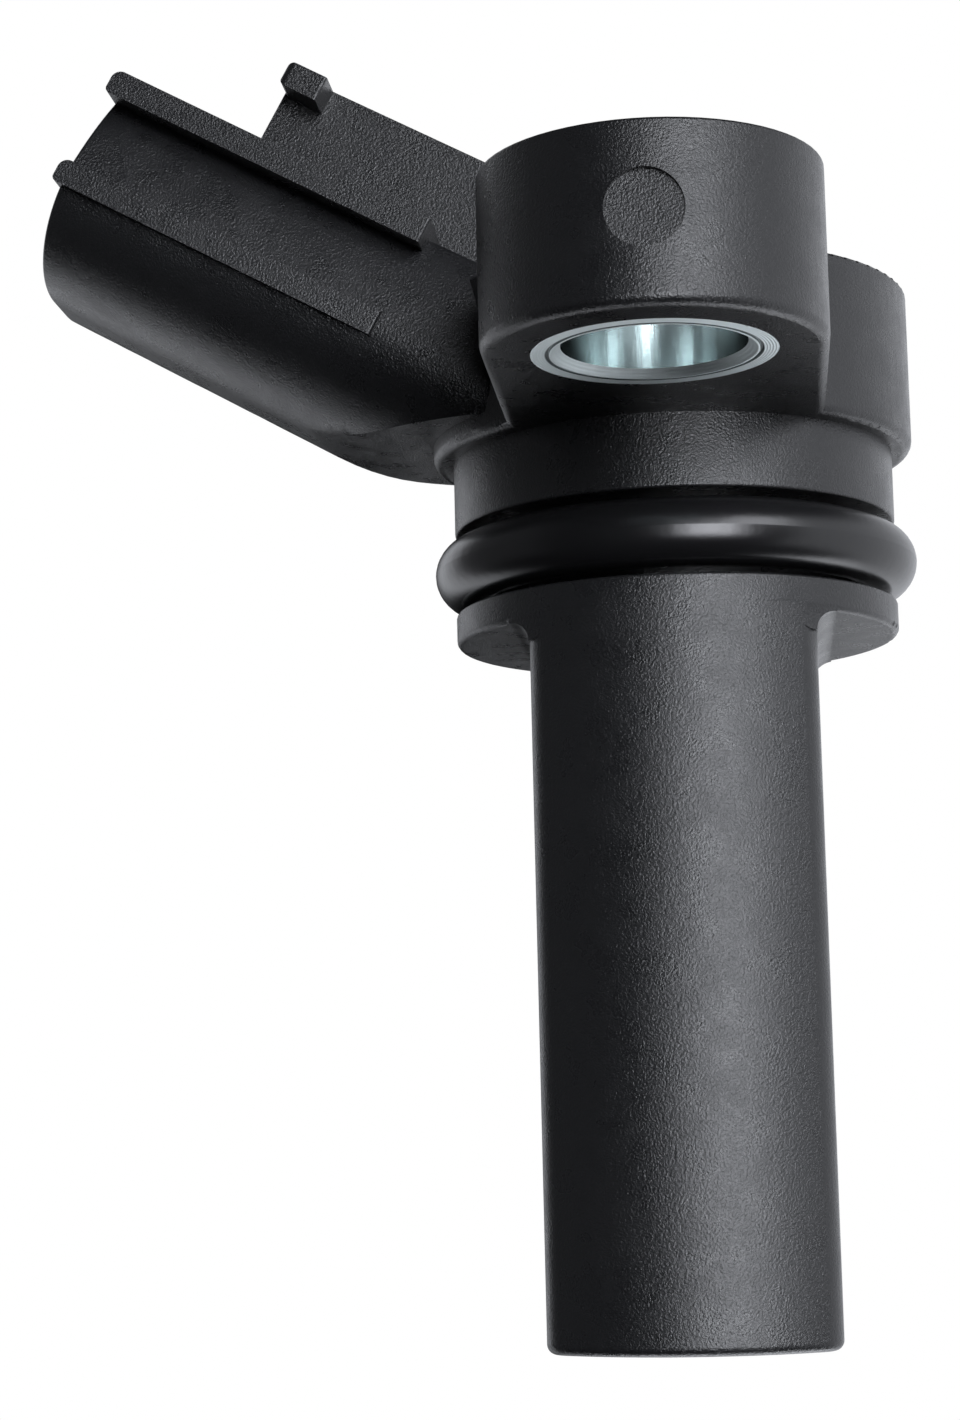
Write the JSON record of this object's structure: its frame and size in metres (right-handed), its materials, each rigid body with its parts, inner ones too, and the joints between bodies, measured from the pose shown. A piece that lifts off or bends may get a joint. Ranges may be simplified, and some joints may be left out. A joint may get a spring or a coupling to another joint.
{
  "type": "camshaft position sensor",
  "caption": "Black moulded camshaft position sensor with a flat-sided probe, a sealed collar, a bolt ear with a steel bush and an upward sloping connector.",
  "frame": {"origin": "where the collar's axis crosses the mounting face under the ear", "axes": "+Z along the collar's axis away from the probe's tip; -Y from the collar towards the bolt ear; -X towards the connector's mouth, which slopes up 29 degrees"},
  "size_m": [0.0348, 0.0329, 0.0514],
  "materials": {
    "housing": "fine spark-eroded grain, satin",
    "bush_steel": "zinc plated, bright",
    "seal_rubber": "smooth, slightly glossy",
    "carrier": "smooth moulded",
    "cover": "smooth moulded",
    "chip_body": "matt epoxy",
    "tinned": "tin plated, satin",
    "plate_steel": "ground",
    "magnet": "nickel plated",
    "holder": "smooth moulded",
    "brass_strip": "bright stamped",
    "blade_tin": "tin plated brass",
    "capacitor_body": "fired ceramic",
    "solder": "bright solder"
  },
  "bodies": {
    "root": {"housing": "housing", "compression_limiter": "bush_steel", "o_ring": "seal_rubber", "sensor_carrier": "carrier", "carrier_cover": "cover", "strip_holder": "holder", "hall_ic": "chip_body", "ic_lead_1": "tinned", "ic_lead_2": "tinned", "ic_lead_3": "tinned", "pole_plate": "plate_steel", "bias_magnet": "magnet", "lead_strip_1": "brass_strip", "lead_strip_2": "brass_strip", "lead_strip_3": "brass_strip", "terminal_blade_1": "blade_tin", "terminal_blade_2": "blade_tin", "terminal_blade_3": "blade_tin", "capacitor_1": "capacitor_body", "capacitor_2": "capacitor_body", "chip_terminations": "solder", "solder_joints": "solder"}
  },
  "joints": []
}
